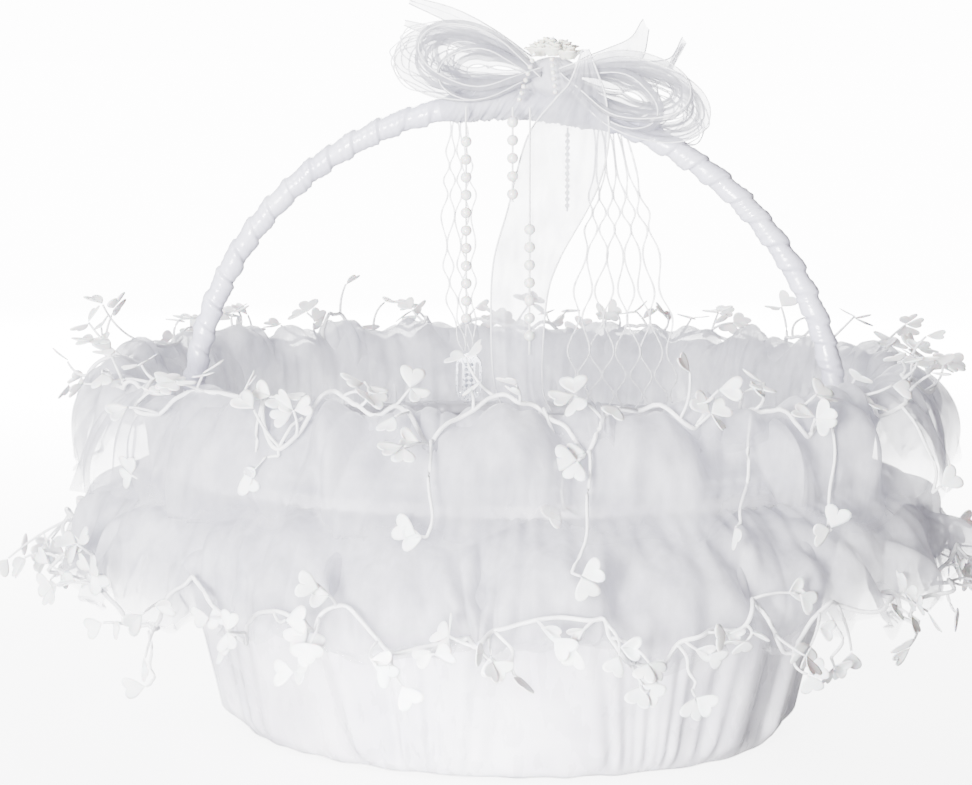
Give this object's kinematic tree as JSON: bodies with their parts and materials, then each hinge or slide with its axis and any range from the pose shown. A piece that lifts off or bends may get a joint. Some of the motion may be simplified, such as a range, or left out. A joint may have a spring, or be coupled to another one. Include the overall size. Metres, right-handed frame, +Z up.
{
  "type": "flower girl basket",
  "caption": "Oval wicker flower girl basket covered in white satin, with organza ruffles, a petal vine trim, a ribbon-wrapped hoop handle and a bow with hanging pearl strands.",
  "frame": {"origin": "centre of the underside, on the surface that the basket stands on", "axes": "+X along the long axis, in the handle's plane, towards the bow's right-hand side; +Y to the back; +Z up"},
  "size_m": [0.4174, 0.3545, 0.301],
  "materials": {
    "plywood": "raw sanded plywood",
    "wicker": "peeled natural cane",
    "steel": "plain steel pin",
    "satin_ribbon": "glossy white satin ribbon",
    "satin": "glossy white satin",
    "batting": "white polyester wadding",
    "organza": "milky sheer organza",
    "satin_cord": "white satin cord",
    "petal": "stiff white satin petal",
    "net": "white knotted net yarn",
    "rosette": "off-white fabric petals",
    "pearl": "pearl lacquer",
    "thread": "white nylon thread",
    "lace": "fine white lace",
    "silver": "silver-plated",
    "crystal": "faceted clear crystal"
  },
  "bodies": {
    "basket": {"base_board": "plywood", "wall_weave": "wicker", "wall_stakes": "wicker", "rim_hoop_outer": "wicker", "rim_hoop_inner": "wicker", "handle_rod": "wicker", "handle_pins": "steel", "handle_wrap": "satin_ribbon", "satin_cover": "satin", "base_cover": "satin", "floor_pad": "batting", "floor_card": "satin", "satin_lining": "satin", "rim_binding": "satin", "heading_band": "satin_ribbon", "lower_ruffle": "organza", "upper_ruffle": "organza", "vine_lower": "satin_cord", "vine_upper": "satin_cord", "sprigs_lower": "satin_cord", "sprigs_upper": "satin_cord", "petals_lower": "petal", "petals_upper": "petal", "bow_band": "organza", "bow_knot": "organza", "organza_loop_left": "organza", "organza_loop_right": "organza", "net_loop_left": "net", "net_loop_right": "net", "ribbon_end_left": "organza", "ribbon_end_right": "organza", "rosette_petals": "rosette", "rosette_pearl": "pearl", "knot_beads": "pearl", "ribbon_fold": "organza"},
    "pearl_strand_left": {"pearl_thread_left": "thread", "pearls_left": "pearl"},
    "ribbon_tail": {"ribbon_tail": "organza"},
    "pearl_strand_short": {"pearl_thread_short": "thread", "pearls_short": "pearl"},
    "pearl_strand_long": {"pearl_thread_long": "thread", "pearls_long": "pearl"},
    "bead_strand": {"bead_thread": "thread", "seed_beads": "pearl"},
    "lace_trail": {"lace_trail": "lace", "buckle_frame": "silver", "buckle_stones": "crystal"},
    "net_trail": {"net_trail": "net"}
  },
  "joints": [
    {"name": "left_strand_swing", "type": "hinge", "parent": "basket", "child": "pearl_strand_left", "pos_m": [-0.016, -0.011, 0.258], "axis": [-1, 0, 0], "range_deg": [0, 45]},
    {"name": "ribbon_tail_swing", "type": "hinge", "parent": "basket", "child": "ribbon_tail", "pos_m": [0, -0.0106, 0.2625], "axis": [-1, 0, 0], "range_deg": [0, 30]},
    {"name": "short_strand_swing", "type": "hinge", "parent": "ribbon_tail", "child": "pearl_strand_short", "pos_m": [0.0035, -0.0145, 0.258], "axis": [-1, 0, 0], "range_deg": [0, 30]},
    {"name": "long_strand_swing", "type": "hinge", "parent": "ribbon_tail", "child": "pearl_strand_long", "pos_m": [0.0105, -0.0145, 0.258], "axis": [-1, 0, 0], "range_deg": [0, 30]},
    {"name": "bead_strand_swing", "type": "hinge", "parent": "basket", "child": "bead_strand", "pos_m": [0.024, 0, 0.2494], "axis": [1, 0, 0], "range_deg": [0, 45]},
    {"name": "lace_trail_swing", "type": "hinge", "parent": "basket", "child": "lace_trail", "pos_m": [-0.023, 0.009, 0.258], "axis": [1, 0, 0], "range_deg": [0, 45]},
    {"name": "net_trail_swing", "type": "hinge", "parent": "basket", "child": "net_trail", "pos_m": [0.0385, 0.009, 0.258], "axis": [1, 0, 0], "range_deg": [0, 45]}
  ]
}
